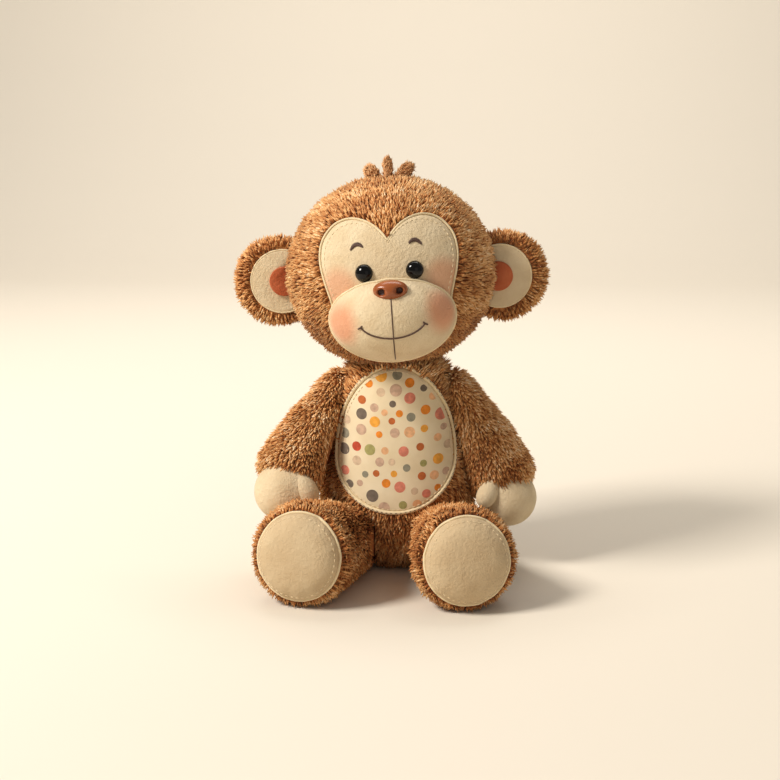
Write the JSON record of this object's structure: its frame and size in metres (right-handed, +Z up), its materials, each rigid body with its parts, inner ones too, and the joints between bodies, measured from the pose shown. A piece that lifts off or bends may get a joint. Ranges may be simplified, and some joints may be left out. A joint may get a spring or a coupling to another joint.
{
  "type": "stuffed monkey",
  "caption": "Seated plush monkey with round ears, a cream face and muzzle, a dotted tummy patch, and head, arms and legs that turn on disc joints.",
  "frame": {"origin": "middle of the flat cloth panel under the body, which the toy sits on", "axes": "+Z up, -Y the way the toy faces, +X the toy's own left"},
  "size_m": [0.2223, 0.1791, 0.3],
  "materials": {
    "brown_plush": "plush pile",
    "cream_plush": "short velour pile",
    "ear_dot": "short velour pile",
    "dotted_cotton": "printed cotton",
    "cream_piping": "woven bias tape",
    "thread": "embroidery thread",
    "tan_pile": "long pile",
    "fibre": "loose polyester fibre",
    "pellets": "cotton bag of pellets",
    "base_cloth": "plush pile",
    "eye_black": "gloss",
    "nose_brown": "gloss",
    "joint_plastic": "moulded"
  },
  "bodies": {
    "torso": {"torso_skin": "brown_plush", "torso_stuffing": "fibre", "pellet_bag": "pellets", "base_panel": "base_cloth", "tummy_patch": "dotted_cotton", "tummy_trim": "cream_piping", "neck_washer": "joint_plastic", "shoulder_washer_left": "joint_plastic", "shoulder_washer_right": "joint_plastic", "hip_washer_left": "joint_plastic", "hip_washer_right": "joint_plastic"},
    "neck": {"neck_disc": "joint_plastic", "neck_lock_washer": "joint_plastic"},
    "head": {"head_skin": "brown_plush", "head_stuffing": "fibre", "face_patch": "cream_plush", "muzzle_skin": "cream_plush", "muzzle_stuffing": "fibre", "nose": "nose_brown", "nose_lock_washer": "joint_plastic", "mouth_stitching": "thread", "hair_tuft": "tan_pile", "eye_left": "eye_black", "eye_right": "eye_black", "eye_lock_washer_left": "joint_plastic", "eye_lock_washer_right": "joint_plastic", "brow_left": "thread", "brow_right": "thread"},
    "ear_left": {"ear_skin_left": "brown_plush", "ear_lining_left": "cream_plush", "ear_dot_left": "ear_dot"},
    "arm_left": {"arm_skin_left": "brown_plush", "hand_left": "cream_plush", "arm_stuffing_left": "fibre", "shoulder_disc_left": "joint_plastic", "shoulder_lock_washer_left": "joint_plastic"},
    "leg_left": {"leg_skin_left": "brown_plush", "leg_stuffing_left": "fibre", "sole_left": "cream_plush", "hip_disc_left": "joint_plastic", "hip_lock_washer_left": "joint_plastic"},
    "ear_right": {"ear_skin_right": "brown_plush", "ear_lining_right": "cream_plush", "ear_dot_right": "ear_dot"},
    "arm_right": {"arm_skin_right": "brown_plush", "hand_right": "cream_plush", "arm_stuffing_right": "fibre", "shoulder_disc_right": "joint_plastic", "shoulder_lock_washer_right": "joint_plastic"},
    "leg_right": {"leg_skin_right": "brown_plush", "leg_stuffing_right": "fibre", "sole_right": "cream_plush", "hip_disc_right": "joint_plastic", "hip_lock_washer_right": "joint_plastic"}
  },
  "joints": [
    {"name": "head_turn", "type": "hinge", "parent": "torso", "child": "neck", "pos_m": [0, 0, 0.146], "axis": [0, 0, 1], "range_deg": [-93, 87]},
    {"name": "head_nod", "type": "hinge", "parent": "neck", "child": "head", "pos_m": [0, 0, 0.146], "axis": [0.9986, 0.0523, 0], "range_deg": [-8, 8]},
    {"name": "ear_fold_left", "type": "hinge", "parent": "head", "child": "ear_left", "pos_m": [0.06749, 0.00754, 0.21273], "axis": [0.0261, 0.0014, -0.9997], "range_deg": [-20, 20], "stiffness_Nm_per_rad": 0.01},
    {"name": "ear_fold_right", "type": "hinge", "parent": "head", "child": "ear_right", "pos_m": [-0.07726, -0.00004, 0.20894], "axis": [-0.0261, -0.0014, 0.9997], "range_deg": [-20, 20], "stiffness_Nm_per_rad": 0.01},
    {"name": "shoulder_left", "type": "hinge", "parent": "torso", "child": "arm_left", "pos_m": [0.0475, 0, 0.1285], "axis": [-0.9681, 0, -0.2504], "range_deg": [-58, 94]},
    {"name": "shoulder_right", "type": "hinge", "parent": "torso", "child": "arm_right", "pos_m": [-0.0475, 0, 0.1285], "axis": [-0.9681, 0, 0.2504], "range_deg": [-80, 72]},
    {"name": "hip_left", "type": "hinge", "parent": "torso", "child": "leg_left", "pos_m": [0.0305, -0.022, 0.022], "axis": [-1, 0, 0], "range_deg": [-90, 2]},
    {"name": "hip_right", "type": "hinge", "parent": "torso", "child": "leg_right", "pos_m": [-0.0305, -0.022, 0.022], "axis": [-1, 0, 0], "range_deg": [-90, 2]}
  ]
}
